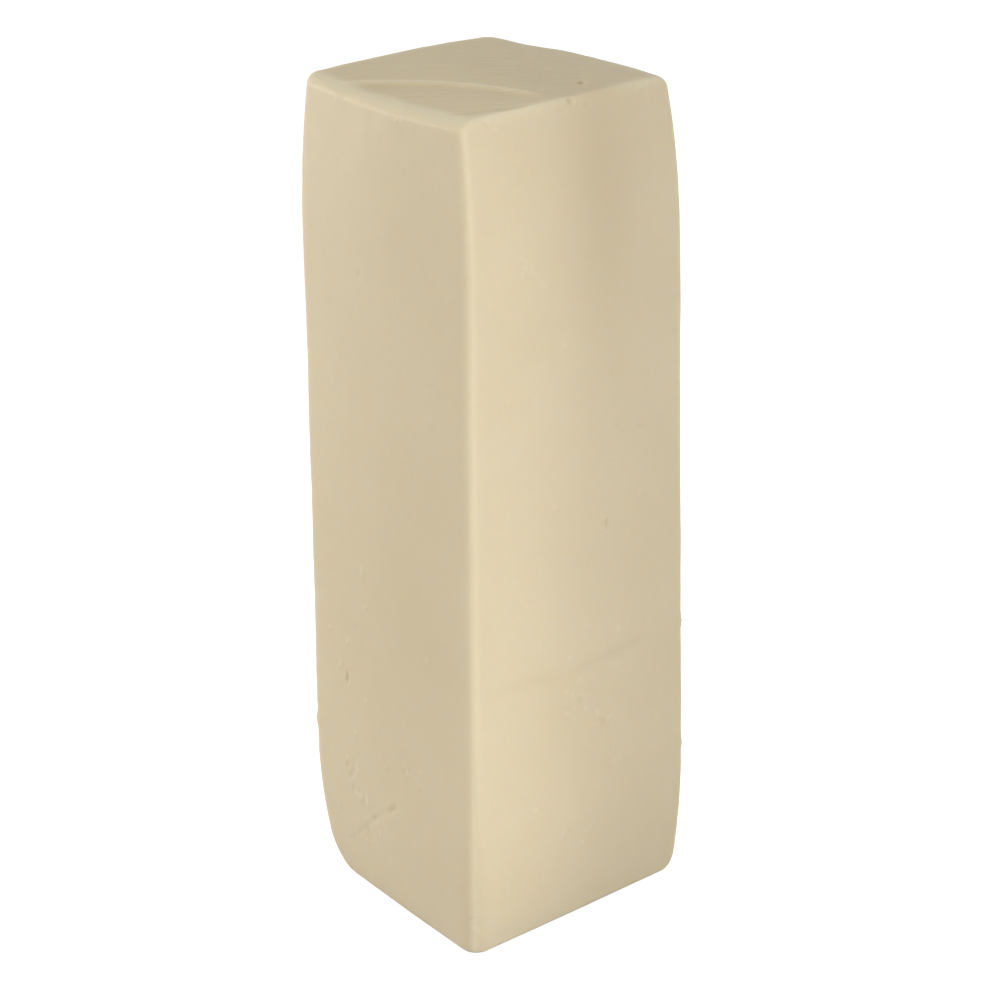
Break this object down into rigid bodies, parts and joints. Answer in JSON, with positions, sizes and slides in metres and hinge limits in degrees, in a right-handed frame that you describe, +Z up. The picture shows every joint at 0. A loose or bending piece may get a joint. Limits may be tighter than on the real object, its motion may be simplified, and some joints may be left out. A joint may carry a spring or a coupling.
{
  "type": "monterey jack cheese loaf",
  "caption": "Tall square loaf of pale cream cheese standing on its end, with rounded edges, drawn-in ends, a creased top and small openings in the curd; for a deli counter, board or kitchen.",
  "frame": {"origin": "middle of the foot's bounding box, on the flat end that the loaf stands on", "axes": "+Z up along the loaf, +X along the front face to its right, +Y from the front to the back"},
  "size_m": [0.0932, 0.0934, 0.2718],
  "materials": {
    "cheese": "smooth, slightly translucent pale cream"
  },
  "bodies": {
    "root": {"cheese_loaf": "cheese"}
  },
  "joints": []
}
